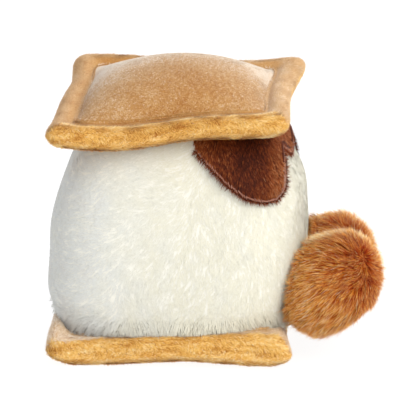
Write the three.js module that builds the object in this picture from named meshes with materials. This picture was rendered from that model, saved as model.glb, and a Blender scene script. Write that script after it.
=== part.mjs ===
// A palm-sized stuffed toy in the shape of a s'more: two sewn cracker cushions with a furry marshmallow
// between them, a chocolate patch that drips over the front, a stitched edge round the patch, and two plump
// feet. Millimetres, +Z up. The toy looks along -Y and stands on its lower cracker.
import * as THREE from "three";

// ---- Driving dimensions ----
const GAP = 0.3; // room kept between touching pieces

const cracker = {
  half: 47.6, // half of the upper one's side, where the corners would meet
  baseExtra: 1, // the lower one is this much larger all round
  squareness: 12, // exponent of the rounded square
  pullIn: 2.8, // how far each side is drawn in between its corners
  rollRadius: 5.2, // the stuffed border is a roll of this radius
  seamInset: 9.7, // from the edge to the sewn line
  seamHalfHeight: 1.7, // the roll's and the panel's thickness at the sewn line, halved
  crownFall: 0.6, // exponent of the crown's fall towards the sewn line; less is fuller
};
const lid = {
  height: 92.6, // of the roll's middle plane, at the toy's axis
  back: 1, // its centre lies this far behind the lower one's
  leanX: 0.083, // rise per millimetre towards +X
  leanY: -0.042, // rise per millimetre towards the back
  twist: 0.0009, // lifts two opposite corners and drops the others
  sag: { depth: 1.6, y: 12, width: 22 }, // a dip in the edge on the toy's right side
  corner: { rise: 2.2, width: 9 }, // the front corner on the toy's left side stands up
  crown: 15.2, // rise of the stuffed panel over its sewn line
  under: 4.2, // depth of the flat underside below the middle plane
};
const base = {
  height: 5.2,
  crown: 1.6, // the upper panel is pressed by the body
  under: 5.2,
  borderFrom: 0.74, // share of the half size where the border starts to lift
  borderTo: 0.92, // and where it has its full lift
  edgeWave: 1.5, // soft waves along the border
  waveLength: 64,
  waveShift: 2,
  cupBack: 7, // the border turns up against the body behind
  cupFront: 2.6, // and in front
  cupInBack: -1, // and is drawn in there, or out where this is negative
  cupInFront: 4.5,
  rollRun: 4, // what rests on the panel rises to the roll's height over this width
};
const body = {
  squareness: 3.6,
  bellyPeak: 0.9, // below 1 lowers the widest level
  rim: 0.2, // share of the half size taken by the rounding of the upper rim
  rimFrom: 0.8, // share of the height where it starts
  footTo: 0.2, // below this share of the height it keeps clear of the lower cracker
  footClear: 0.75, // by this much
  side: { foot: 41, shoulder: 36, belly: 6.5 }, // half width at the bottom and top, and the swell between
  front: { foot: 41.4, shoulder: 38.5, belly: 9.8 },
  back: { foot: 45.2, shoulder: 35.8, belly: 9.2 },
};
const chocolate = {
  thickness: 1.2,
  clear: 0.42, // room between the patch and the body
  topShare: 0.975, // how far up the body the patch reaches
  // its hem from the middle of the front to one side: degrees from the front, height
  hem: [
    [0, 74.6],
    [7, 74.9],
    [13, 76],
    [17.6, 77.7],
    [21, 79.2],
    [24, 78.8],
    [27, 76.5],
    [30.6, 73.4],
    [34, 70],
    [36.8, 67],
    [40, 64.9],
    [43.6, 63.5],
    [48, 63],
    [52, 63.6],
    [56, 65.2],
    [60.4, 68.3],
    [64.4, 71.7],
    [68, 74.9],
    [71.4, 78.1],
    [76, 81.8],
  ],
  columns: 44,
  rows: 6,
};
const edging = {
  radius: 0.75,
  clear: 0.84, // room between the cord and the body
  endInset: 0.004, // share of the hem left bare at each end
  sides: 6,
  lengths: 74,
  coursePoints: 60,
};
const foot = {
  halfWidth: 20.4,
  halfLength: 19.5,
  halfHeight: 22.2,
  squareness: 2.25,
  sole: 0.38, // how much shorter in front it is at the very bottom
  instep: 0.26, // how much lower it is behind
  pitch: 19, // degrees that its toe is tipped down
  left: { x: 21.6, y: -55.2, z: 24.6 },
  right: { x: -21.6, y: -59.2, z: 27.6 },
};
const steps = { round: 44, roll: 30, foot: 24, footRings: 14, body: 10 };

const { degToRad, clamp, smoothstep } = THREE.MathUtils;
const FULL_TURN = 2 * Math.PI;

// ---- Shared shaping tools ----
// A lathe whose rings are moved by place(ring, angle): ring is the profile's own entry, angle is in radians.
function reshapedLathe(rings, turns, place) {
  const profile = rings.map((ring) => new THREE.Vector2(ring.share, ring.z));
  const geometry = new THREE.LatheGeometry(profile, turns);
  const position = geometry.attributes.position;
  for (let turn = 0; turn <= turns; turn++) {
    const angle = ((turn % turns) / turns) * FULL_TURN;
    rings.forEach((ring, k) => {
      const p = place(ring, angle);
      position.setXYZ(turn * rings.length + k, p.x, p.y, p.z);
    });
  }
  return geometry;
}

// Radius, at this angle, of a rounded square with these half sizes.
function squareRadius(angle, halfX, halfY, squareness) {
  const across = Math.abs(Math.cos(angle) / halfX) ** squareness;
  const along = Math.abs(Math.sin(angle) / halfY) ** squareness;
  return (across + along) ** (-1 / squareness);
}

// Brings the vertices of a rounded square closer together at its corners.
const CORNER_SHARE = 0.15;
const towardsCorners = (angle) => angle + CORNER_SHARE * Math.sin(4 * angle);

// ---- Crackers ----
const baseHalf = cracker.half + cracker.baseExtra;

// The rings of a cushion from the middle of its underside, round the border roll, to the middle of its panel.
function cushionRings(under, half) {
  const { rollRadius, seamInset, seamHalfHeight } = cracker;
  const seam = (half - seamInset) / half;
  const rollEnd = 135; // degrees round the roll's section where it meets the panel
  const rings = [];
  for (const share of [0, 0.5, 0.9]) rings.push({ share: share * seam, z: -under, panel: false });
  rings.push({ share: seam, z: -(under + seamHalfHeight) / 2, panel: false });
  for (let degrees = -rollEnd; degrees <= rollEnd; degrees += steps.roll) {
    const inset = rollRadius * (1 - Math.cos(degToRad(degrees)));
    rings.push({ share: (half - inset) / half, z: rollRadius * Math.sin(degToRad(degrees)), panel: false });
  }
  rings.push({ share: seam, z: seamHalfHeight, panel: false });
  for (const share of [0.95, 0.86, 0.74, 0.56, 0.3, 0])
    rings.push({ share: share * seam, z: seamHalfHeight, panel: true });
  return rings;
}

// A point of a cushion that lies flat: the crown rises over the panel, and each side is drawn in.
function cushionPoint(ring, angle, crown, half) {
  const { squareness, pullIn, seamInset, crownFall } = cracker;
  const turned = towardsCorners(angle);
  const radius = ring.share * squareRadius(turned, half, half, squareness);
  const x = radius * Math.cos(turned);
  const y = radius * Math.sin(turned);
  const panelHalf = half - seamInset;
  const inside = Math.max(0, (1 - (x / panelHalf) ** 2) * (1 - (y / panelHalf) ** 2));
  return new THREE.Vector3(
    x * (1 - (pullIn / half) * (1 - (y / half) ** 4)),
    y * (1 - (pullIn / half) * (1 - (x / half) ** 4)),
    ring.z + (ring.panel ? crown * inside ** crownFall : 0),
  );
}

// Height of the lid's middle plane, which leans and twists, sags along one edge and has one corner up.
function lidHeight(x, y) {
  const { half } = cracker;
  const { sag, corner } = lid;
  const dip = sag.depth * Math.max(0, -x / half) ** 2 * Math.exp(-(((y - sag.y) / sag.width) ** 2));
  const raised = corner.rise * Math.exp(-((x - half) ** 2 + (y + half) ** 2) / 2 / corner.width ** 2);
  return lid.height + lid.leanX * x + lid.leanY * y + lid.twist * x * y - dip + raised;
}

// 0 over the flat middle of the lower cracker, 1 over its border roll.
const overBorder = (distance) => smoothstep(distance / baseHalf, base.borderFrom, base.borderTo);

// Where the lower cracker turns up against the body: 1 in the middle of the back or front edge.
function cupping(x, y) {
  return overBorder(Math.abs(y)) * Math.max(0, 1 - (x / baseHalf) ** 2);
}

// How far the lower cracker's border lifts off the ground: soft waves, and the cupping behind and in front.
function baseLift(x, y) {
  const border = overBorder(Math.max(Math.abs(x), Math.abs(y)));
  const wave = (1 + Math.cos((FULL_TURN * (y + base.waveShift)) / base.waveLength)) / 2;
  return base.edgeWave * wave * border + (y > 0 ? base.cupBack : base.cupFront) * cupping(x, y);
}

// The share by which the lower cracker is drawn in where it turns up.
function drawnIn(x, y) {
  return ((y > 0 ? base.cupInBack : base.cupInFront) / baseHalf) * cupping(x, y);
}

// A height just above the lower cracker's upper side, for what rests on it: level over the border roll, and
// falling from there to the panel.
function baseTop(x, there) {
  const { squareness, rollRadius, seamInset, seamHalfHeight, pullIn } = cracker;
  let y = there;
  for (let k = 0; k < 4; k++) y = there / (1 - drawnIn(x, y));
  const reach = Math.hypot(x, y) / squareRadius(Math.atan2(y, x), baseHalf, baseHalf, squareness);
  const inset = (1 - reach) * baseHalf - pullIn;
  const panel = seamHalfHeight + base.crown;
  const rise = clamp((seamInset + base.rollRun - inset) / base.rollRun, 0, 1);
  return base.height + baseLift(x, y) + panel + (rollRadius - panel) * rise;
}

function crackerTop() {
  const { half } = cracker;
  return reshapedLathe(cushionRings(lid.under, half), steps.round, (ring, angle) => {
    const p = cushionPoint(ring, angle, lid.crown, half);
    p.y += lid.back;
    p.z += lidHeight(p.x, p.y);
    return p;
  });
}

function crackerBottom() {
  return reshapedLathe(cushionRings(base.under, baseHalf), steps.round, (ring, angle) => {
    const p = cushionPoint(ring, angle, base.crown, baseHalf);
    const y = p.y * (1 - drawnIn(p.x, p.y));
    p.z += base.height + baseLift(p.x, p.y);
    p.y = y;
    return p;
  });
}

// ---- Marshmallow ----
const bodyFloor = base.height + cracker.seamHalfHeight + base.crown + GAP;

const bodyCeiling = (x, y) => lidHeight(x, y) - lid.under - GAP;

// Half size of one side at this share of the body's height.
function halfSize({ foot: low, shoulder, belly }, share) {
  return low + (shoulder - low) * share + belly * Math.sin(Math.PI * share ** body.bellyPeak);
}

// How far in the body's surface lies from its full half size at this share of the height.
function rounding(share) {
  const t = clamp((share - body.rimFrom) / (1 - body.rimFrom), 0, 1);
  return 1 - body.rim * (1 - Math.sqrt(1 - t * t));
}

// A point on the body: angle round it, share of its height, and how far in from its side (1 is on the side).
function bodyPoint(angle, share, inward = rounding(share), grow = 0) {
  const halfX = halfSize(body.side, share) + grow;
  const halfY = halfSize(Math.sin(angle) < 0 ? body.front : body.back, share) + grow;
  const radius = inward * squareRadius(angle, halfX, halfY, body.squareness);
  const x = radius * Math.cos(angle);
  const y = radius * Math.sin(angle);
  const z = bodyFloor + (bodyCeiling(x, y) - bodyFloor) * share;
  return new THREE.Vector3(x, y, share < body.footTo ? Math.max(z, baseTop(x, y) + body.footClear) : z);
}

// Share of the body's height at the height z over this spot.
function bodyShare(x, y, z) {
  return clamp((z - bodyFloor) / (bodyCeiling(x, y) - bodyFloor), 0, 1);
}

// Rings from the middle of the body's floor up its sides to the middle of its top, with rounded rims. share
// is how far out a ring lies, and z its share of the height.
function bodyRings() {
  const rings = [
    { share: 0, z: 0 },
    { share: 0.5, z: 0 },
    { share: 0.8, z: 0 },
    { share: 0.91, z: 0.018 },
    { share: 0.975, z: 0.048 },
  ];
  const [sideFrom, sideTo] = [0.09, body.rimFrom];
  for (let k = 0; k <= steps.body; k++)
    rings.push({ share: 1, z: sideFrom + ((sideTo - sideFrom) * k) / steps.body });
  for (const z of [0.87, 0.93, 0.97, 0.992, 1]) rings.push({ share: rounding(z), z });
  rings.push({ share: 0.45, z: 1 }, { share: 0, z: 1 });
  return rings;
}

function marshmallow() {
  return reshapedLathe(bodyRings(), steps.round, (ring, angle) =>
    bodyPoint(towardsCorners(angle), ring.z, ring.share),
  );
}

// ---- Chocolate ----
const FRONT = 270; // the angle round the body, in degrees, of the middle of its front

// The hem as a curve over (degrees from the middle of the front, height), from one side round to the other.
function hemCurve() {
  const half = chocolate.hem.map(([degrees, height]) => new THREE.Vector3(degrees, height, 0));
  const other = half.slice(1).map((p) => new THREE.Vector3(-p.x, p.y, 0));
  return new THREE.CatmullRomCurve3([...other.reverse(), ...half], false, "centripetal");
}

// A point over the body's surface: degrees from the middle of the front, height, and distance off it.
function overBody(degrees, height, off) {
  const angle = degToRad(FRONT + degrees);
  let p = bodyPoint(angle, bodyShare(0, 0, height), undefined, off);
  for (let k = 0; k < 3; k++) p = bodyPoint(angle, bodyShare(p.x, p.y, height), undefined, off);
  return p;
}

function chocolatePatch() {
  const { thickness, clear, topShare, columns, rows } = chocolate;
  const hem = hemCurve().getSpacedPoints(columns);
  const geometry = new THREE.BoxGeometry(1, 1, 1, columns, rows, 1);
  const position = geometry.attributes.position;
  for (let i = 0; i < position.count; i++) {
    const low = hem[Math.round((position.getX(i) + 0.5) * columns)];
    const up = position.getY(i) + 0.5;
    const off = clear + (position.getZ(i) > 0 ? thickness : 0);
    const edge = overBody(low.x, low.y, off);
    const start = bodyShare(edge.x, edge.y, edge.z);
    const p = bodyPoint(degToRad(FRONT + low.x), start + (topShare - start) * up, undefined, off);
    position.setXYZ(i, p.x, p.y, p.z);
  }
  return geometry;
}

// A round cord laid along the patch's hem, just clear of it and of the body.
function chocolateEdging() {
  const { radius, clear, endInset, sides, lengths, coursePoints } = edging;
  const curve = hemCurve();
  const over = (share, off) => {
    const { x: degrees, y: height } = curve.getPointAt(share);
    return overBody(degrees, height, off);
  };
  const off = clear + radius;
  const course = [];
  for (let k = 0; k <= coursePoints; k++) {
    const share = endInset + (1 - 2 * endInset) * (k / coursePoints);
    const nearby = endInset * 0.75;
    const outward = over(share, off + 1).sub(over(share, off)).normalize();
    const along = over(share + nearby, off).sub(over(share - nearby, off)).normalize();
    const down = along.cross(outward).normalize();
    course.push(over(share, off).addScaledVector(down, GAP + radius));
  }
  const section = new THREE.Shape();
  section.absarc(0, 0, radius, 0, FULL_TURN, false);
  return new THREE.ExtrudeGeometry(section, {
    curveSegments: sides,
    steps: lengths,
    bevelEnabled: false,
    extrudePath: new THREE.CatmullRomCurve3(course, false, "centripetal"),
  });
}

// ---- Feet ----
// How far forward the body reaches at this place, or nothing where it is beyond the body's side.
function bodyFront(x, z) {
  const share = bodyShare(x, -body.front.foot, z);
  const halfX = halfSize(body.side, share);
  const across = 1 - Math.abs(x / halfX) ** body.squareness;
  return across > 0 ? -halfSize(body.front, share) * across ** (1 / body.squareness) : 0;
}

// Keeps a point of a foot in front of the lower cracker's border roll.
function clearOfBase(p) {
  const { rollRadius, pullIn } = cracker;
  const across = (baseHalf - rollRadius) * (1 - (pullIn / baseHalf) * (1 - (p.x / baseHalf) ** 4));
  const y = -across * (1 - drawnIn(p.x, -across));
  const above = p.z - (base.height + baseLift(p.x, -across));
  const clear = rollRadius + 3 * GAP;
  if (above < clear) p.y = Math.min(p.y, y - Math.sqrt(clear ** 2 - Math.max(above, 0) ** 2));
}

// A squarish ball, cut back under the toe and low behind, tipped forward, and pressed against the body.
function plumpFoot(at) {
  const { squareness: n, sole, instep, pitch } = foot;
  const size = new THREE.Vector3(foot.halfWidth, foot.halfLength, foot.halfHeight);
  const geometry = new THREE.SphereGeometry(1, steps.foot, steps.footRings);
  geometry.rotateX(Math.PI / 2); // poles up and down
  const position = geometry.attributes.position;
  const tilt = new THREE.Matrix4().makeRotationX(degToRad(pitch));
  for (let i = 0; i < position.count; i++) {
    const p = new THREE.Vector3().fromBufferAttribute(position, i);
    p.multiplyScalar((Math.abs(p.x) ** n + Math.abs(p.y) ** n + Math.abs(p.z) ** n) ** (-1 / n));
    if (p.y < 0 && p.z < 0) p.y *= 1 + sole * p.z;
    if (p.y > 0 && p.z > 0) p.z *= 1 - instep * p.y;
    p.multiply(size).applyMatrix4(tilt).add(at);
    p.y = Math.min(p.y, bodyFront(p.x, p.z) - 2 * GAP);
    clearOfBase(p);
    position.setXYZ(i, p.x, p.y, p.z);
  }
  return geometry;
}

// ---- The whole toy ----
const velour = { color: 0xd9a866, roughness: 0.85, metalness: 0 };
const lowerVelour = { color: 0xdcb06c, roughness: 0.85, metalness: 0 };
const whiteFur = { color: 0xefeee2, roughness: 0.9, metalness: 0 };
const darkPile = { color: 0x54271b, roughness: 0.7, metalness: 0 };
const thread = { color: 0x8a6150, roughness: 0.8, metalness: 0 };
const brownFur = { color: 0xaa6534, roughness: 0.8, metalness: 0 };

const pieces = {
  cracker_top: [crackerTop(), velour],
  cracker_bottom: [crackerBottom(), lowerVelour],
  marshmallow: [marshmallow(), whiteFur],
  chocolate: [chocolatePatch(), darkPile],
  chocolate_edging: [chocolateEdging(), thread],
  foot_left: [plumpFoot(foot.left), brownFur],
  foot_right: [plumpFoot(foot.right), brownFur],
};
const group = new THREE.Group();
for (const [name, [geometry, look]] of Object.entries(pieces)) {
  const mesh = new THREE.Mesh(geometry, new THREE.MeshStandardMaterial(look));
  mesh.name = name;
  group.add(mesh);
}

// The origin is the middle of the whole toy's footprint, on the ground.
const whole = new THREE.Box3().setFromObject(group);
for (const mesh of group.children) {
  mesh.geometry.translate(-(whole.min.x + whole.max.x) / 2, -(whole.min.y + whole.max.y) / 2, -whole.min.z);
}

export default group;
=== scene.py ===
"""A palm-sized stuffed toy s'more: two velour cracker cushions, a white long-pile marshmallow between them, a
dark pile chocolate patch with a stitched hem over its front, and two fluffy feet. Shapes are worked out in
millimetres. The toy looks along -Y and the camera stands on its right side."""
import math

import bpy
import numpy as np
from mathutils import Matrix, Vector


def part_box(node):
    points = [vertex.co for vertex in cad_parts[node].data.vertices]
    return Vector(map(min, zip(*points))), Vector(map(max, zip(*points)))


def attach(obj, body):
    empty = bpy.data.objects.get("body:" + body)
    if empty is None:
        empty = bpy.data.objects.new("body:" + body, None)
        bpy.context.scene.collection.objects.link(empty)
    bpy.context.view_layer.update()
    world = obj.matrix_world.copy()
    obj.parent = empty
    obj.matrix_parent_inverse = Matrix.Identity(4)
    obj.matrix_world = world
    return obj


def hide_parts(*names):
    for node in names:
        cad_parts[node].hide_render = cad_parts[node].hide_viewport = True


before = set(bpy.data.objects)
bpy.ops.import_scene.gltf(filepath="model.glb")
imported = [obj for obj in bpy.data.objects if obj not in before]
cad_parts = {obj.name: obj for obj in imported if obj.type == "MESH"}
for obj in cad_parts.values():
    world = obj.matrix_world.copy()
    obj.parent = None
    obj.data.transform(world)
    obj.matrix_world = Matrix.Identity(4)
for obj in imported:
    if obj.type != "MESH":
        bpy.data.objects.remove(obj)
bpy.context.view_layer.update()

MM = 0.001

# ---- Driving dimensions, the same as the solids' ----
HALF = 47.6  # half of the upper cracker's side, where the corners would meet
BASE_HALF = HALF + 1
SQUARENESS = 12
CORNER_SHARE = 0.15  # brings the points round a rounded square closer together at its corners
PULL_IN = 2.8
CROWN_FALL = 0.6
ROLL = 5.2
SEAM_INSET = 9.7
SEAM_HEIGHT = 1.7
CLEAR = 0.3  # between the body and each cracker
LID = {
    "height": 92.6, "back": 1, "lean_x": 0.083, "lean_y": -0.042, "twist": 0.0009, "crown": 15.2,
    "under": 4.2, "sag": 1.6, "sag_y": 12, "sag_width": 22, "corner": 2.2, "corner_width": 9,
}
BASE = {
    "height": 5.2, "crown": 1.6, "under": 5.2, "border_from": 0.74, "border_to": 0.92, "wave": 1.5,
    "wave_length": 64, "wave_shift": 2, "cup_back": 7, "cup_front": 2.6, "in_back": -1, "in_front": 4.5,
    "roll_run": 4,
}
SOLID_COLUMNS = 44
BODY_SQUARENESS = 3.6
BODY_PEAK = 0.9
BODY_RIM = 0.2
BODY_RIM_FROM = 0.8
BODY_FOOT_TO = 0.2  # below this share of its height the body keeps clear of the lower cracker
BODY_FOOT_CLEAR = 0.75
BODY_SIDE = (41, 36, 6.5)  # half size at the foot, at the shoulder, and the swell between
BODY_FRONT = (41.4, 38.5, 9.8)
BODY_BACK = (45.2, 35.8, 9.2)
BODY_FLOOR = BASE["height"] + SEAM_HEIGHT + BASE["crown"] + CLEAR
# The patch's hem from the middle of the front to one side: degrees from the front, height
HEM = [(0, 74.6), (7, 74.9), (13, 76), (17.6, 77.7), (21, 79.2), (24, 78.8), (27, 76.5), (30.6, 73.4),
       (34, 70), (36.8, 67), (40, 64.9), (43.6, 63.5), (48, 63), (52, 63.6), (56, 65.2), (60.4, 68.3),
       (64.4, 71.7), (68, 74.9), (71.4, 78.1), (76, 81.8)]
PATCH_TOP = 0.975
FOOT = {"size": (20.4, 19.5, 22.2), "squareness": 2.25, "sole": 0.38, "instep": 0.26, "pitch": 19,
        "body_gap": 0.6, "base_gap": 0.9}
FOOT_AT = {"foot_left": (21.6, -55.2, 24.6), "foot_right": (-21.6, -59.2, 27.6)}

# ---- Where the looks depart from the solids ----
SKIN_INSET = {"cracker": 0.7, "body": 1.1, "foot": 2.4}  # how far each skin lies inside its solid
LID_GAP = 2.0  # between the body's skin and the lid's, before they are brought together
FAR_RAISE = 2.0  # how much higher the upper cracker's far back corner stands
FRONT_PUFF = 3.5  # how far the lower cracker puffs up beside the body near its front
NEAR_ROLL = (0.96, 0.86, 0.96)  # how full the upper cracker's near roll is, at its back, middle and front
BACK_PULL, FRONT_PULL = 2.0, 1.3  # how far the upper cracker's back and front edges are drawn in
NEAR_DIP = 0.8  # how far its near edge drops towards the back, and rises towards the front
# The upper cracker's corners: x, y, how far it stands up, how far it reaches back, and its spread
LID_CORNERS = [(HALF, -HALF, 0.8, -1.8, 8), (HALF, HALF, 0, -1.2, 10), (-HALF, HALF, 2.4, 0.4, 8)]
GROOVES = {"lid": (5.2, 3.2), "base": (5, 5)}  # the least height of the fold, on the near side and elsewhere
BASE_SETTLED = 0.13
PATCH_PROUD = 0.5  # how far the patch's skin stands over the body's solid
PATCH_SUNK = 0.9  # how much less in the middle of the front, where its stitches draw the body in
PATCH_THICK = 1.0


# ---- Small tools ----
def unit(v):
    return v / np.maximum(np.linalg.norm(v, axis=-1, keepdims=True), 1e-9)


def smoothstep(x, low, high):
    t = np.clip((x - low) / (high - low), 0, 1)
    return t * t * (3 - 2 * t)


def bell(x, middle, width):
    return np.exp(-(((x - middle) / width) ** 2))


def mound(x, y, middle_x, middle_y, spread):
    return np.exp(-((x - middle_x) ** 2 + (y - middle_y) ** 2) / 2 / spread**2)


def wobble(points, wavelength, seed, waves=7):
    """Smooth unevenness, mostly between -1 and 1, in waves of about this many millimetres."""
    rng = np.random.default_rng(seed)
    total = np.zeros(len(points))
    for _ in range(waves):
        direction = unit(rng.normal(size=3))
        size = wavelength * rng.uniform(0.7, 1.5)
        total += np.sin(points @ direction * (2 * math.pi / size) + rng.uniform(0, 2 * math.pi))
    return total / math.sqrt(waves)


def wobbly_way(points, wavelength, seed):
    """An uneven direction at each point."""
    return np.stack([wobble(points, wavelength, seed + k) for k in range(3)], 1)


def smooth_through(points, steps):
    """A Catmull-Rom line through the points, with steps pieces between each two."""
    p = np.array(points, float)
    p = np.vstack([2 * p[0] - p[1], p, 2 * p[-1] - p[-2]])
    t = (np.arange(steps) / steps)[:, None]
    line = []
    for a, b, c, d in zip(p, p[1:], p[2:], p[3:]):
        bend = 2 * a - 5 * b + 4 * c - d
        line.append(0.5 * (2 * b + (c - a) * t + bend * t**2 + (3 * b - a - 3 * c + d) * t**3))
    return np.vstack([*line, p[-2][None]])


def square_radius(angle, half_x, half_y, squareness):
    across = np.abs(np.cos(angle) / half_x) ** squareness
    along = np.abs(np.sin(angle) / half_y) ** squareness
    return (across + along) ** (-1 / squareness)


def round_the_square(columns):
    """Angles round a rounded square, closer together at its corners."""
    angle = np.arange(columns) / columns * 2 * math.pi
    return angle + CORNER_SHARE * np.sin(4 * angle)


# ---- Cracker shapes ----
def lid_height(x, y):
    sag = LID["sag"] * np.maximum(0, -x / HALF) ** 2 * bell(y, LID["sag_y"], LID["sag_width"])
    raised = LID["corner"] * mound(x, y, HALF, -HALF, LID["corner_width"])
    return LID["height"] + LID["lean_x"] * x + LID["lean_y"] * y + LID["twist"] * x * y - sag + raised


def far_raise(x, y):
    return FAR_RAISE * smoothstep(x, 18, 46) * smoothstep(y, -8, 26)


def front_puff(x, y):
    """How far the lower cracker's near front puffs up at a place, and the body's edge with it."""
    return FRONT_PUFF * bell(x, -37, 10) * smoothstep(-y, 0, 32) * (1 - smoothstep(-y, 37, 46))


def pulled_in(along, half):
    """The share of its distance from the middle that a cushion's side keeps, at this place along the side."""
    return 1 - PULL_IN / half * (1 - (along / half) ** 4)


def over_border(distance):
    return smoothstep(distance / BASE_HALF, BASE["border_from"], BASE["border_to"])


def cupping(x, y):
    return over_border(np.abs(y)) * np.maximum(0, 1 - (x / BASE_HALF) ** 2)


def base_lift(x, y):
    border = over_border(np.maximum(np.abs(x), np.abs(y)))
    wave = 0.5 + 0.5 * np.cos(2 * math.pi * (y + BASE["wave_shift"]) / BASE["wave_length"])
    cup = np.where(y > 0, BASE["cup_back"], BASE["cup_front"])
    return BASE["wave"] * wave * border + cup * cupping(x, y)


def drawn_in(x, y):
    return np.where(y > 0, BASE["in_back"], BASE["in_front"]) / BASE_HALF * cupping(x, y)


def base_top(x, there):
    """The height of the lower cracker's top, where there is y after the border is drawn in."""
    y = there
    for _ in range(4):
        y = there / (1 - drawn_in(x, y))
    reach = np.hypot(x, y) / square_radius(np.arctan2(y, x), BASE_HALF, BASE_HALF, SQUARENESS)
    inset = (1 - reach) * BASE_HALF - PULL_IN
    panel = SEAM_HEIGHT + BASE["crown"]
    rise = np.clip((SEAM_INSET + BASE["roll_run"] - inset) / BASE["roll_run"], 0, 1)
    return BASE["height"] + base_lift(x, y) + panel + (ROLL - panel) * rise


ROLL_END = 140  # degrees round the roll's section where it meets the sewn line
PANEL_RINGS = (0.985, 0.96, 0.93, 0.89, 0.84, 0.78, 0.7, 0.61, 0.51, 0.4, 0.28, 0.15, 0)


def cushion(half, under, crown, columns, thickness=None, groove=(0, 0), settled=0.0):
    """A cushion's rings by columns: x, y, z, its share of the panel (0 on the roll), and the profile's own
    angle. The profile runs from the middle of the underside round the roll to the middle of the panel.
    thickness(x, y) is how full the roll is there, groove the least height of the fold between the roll and
    the panel, on the near side and elsewhere, and settled how much the roll fills out below."""
    seam = (half - SEAM_INSET) / half
    profile = [(0, -under, 0, -90), (0.5 * seam, -under, 0, -90), (0.86 * seam, -under, 0, -90),
               (0.96 * seam, -under * 0.86, 0, -90), (seam, -SEAM_HEIGHT - 0.4, 0, -90)]
    for degrees in range(-ROLL_END, ROLL_END + 1, 10):
        a = math.radians(degrees)
        full = ROLL * (1 - settled * min(math.sin(2 * a), 0) * (-90 < degrees < 0))
        profile.append(((half - ROLL + full * math.cos(a)) / half, full * math.sin(a), 0, degrees))
    profile.append((seam, SEAM_HEIGHT - 0.3, 0, ROLL_END))
    for share in PANEL_RINGS:
        profile.append((share * seam, SEAM_HEIGHT, 1, 90))
    share, height, panel, turn = smooth_through(profile, 2).T[:, :, None]
    angle = round_the_square(columns)[None, :]
    fold = groove[1] + (groove[0] - groove[1]) * smoothstep(-np.cos(angle), 0.6, 0.8)
    height = np.where((turn > 90) & (share > seam * 0.97), np.maximum(height, fold), height)
    radius = np.clip(share, 0, None) * square_radius(angle, half, half, SQUARENESS)
    x, y = radius * np.cos(angle), radius * np.sin(angle)
    panel_half = half - SEAM_INSET
    dome = np.clip((1 - (x / panel_half) ** 2) * (1 - (y / panel_half) ** 2), 0, None) ** CROWN_FALL
    panel = np.clip(panel, 0, 1) * (share < seam)
    z = height + crown * dome * panel
    if thickness:
        middle = (half - ROLL) / half * square_radius(angle, half, half, SQUARENESS)
        middle_x, middle_y = middle * np.cos(angle), middle * np.sin(angle)
        on_roll = (panel == 0) & (np.abs(turn) <= ROLL_END) & (share > seam * 0.99)
        full = np.where(on_roll, thickness(middle_x, middle_y), 1)
        x, y, z = middle_x + (x - middle_x) * full, middle_y + (y - middle_y) * full, z * full
    return x * pulled_in(y, half), y * pulled_in(x, half), z, panel + 0 * x, turn + 0 * x


# ---- Marshmallow shape ----
def half_size(sizes, share):
    foot, shoulder, belly = sizes
    return foot + (shoulder - foot) * share + belly * np.sin(math.pi * np.clip(share, 0, 1) ** BODY_PEAK)


def rounding(share):
    t = np.clip((share - BODY_RIM_FROM) / (1 - BODY_RIM_FROM), 0, 1)
    return 1 - BODY_RIM * (1 - np.sqrt(1 - t * t))


def body_ceiling(x, y):
    return lid_height(x, y) - LID["under"] - CLEAR


def body_point(angle, share, inward=None, grow=0.0):
    inward = rounding(share) if inward is None else inward
    half_x = half_size(BODY_SIDE, share) + grow
    half_y = np.where(np.sin(angle) < 0, half_size(BODY_FRONT, share), half_size(BODY_BACK, share)) + grow
    radius = inward * square_radius(angle, half_x, half_y, BODY_SQUARENESS)
    x, y = radius * np.cos(angle), radius * np.sin(angle)
    z = BODY_FLOOR + (body_ceiling(x, y) - BODY_FLOOR) * share
    z = np.where(share < BODY_FOOT_TO, np.maximum(z, base_top(x, y) + BODY_FOOT_CLEAR), z)
    return np.stack([x, y, z], -1)


def body_share(x, y, z):
    return np.clip((z - BODY_FLOOR) / (body_ceiling(x, y) - BODY_FLOOR), 0, 1)


def over_body(degrees, height, off):
    """The point over the body at this many degrees from the middle of its front, at this height."""
    angle = np.radians(270 + degrees)
    share = body_share(0, 0, height)
    for _ in range(5):
        p = body_point(angle, share, grow=off)
        share = body_share(p[..., 0], p[..., 1], height)
    return body_point(angle, share, grow=off)


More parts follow.
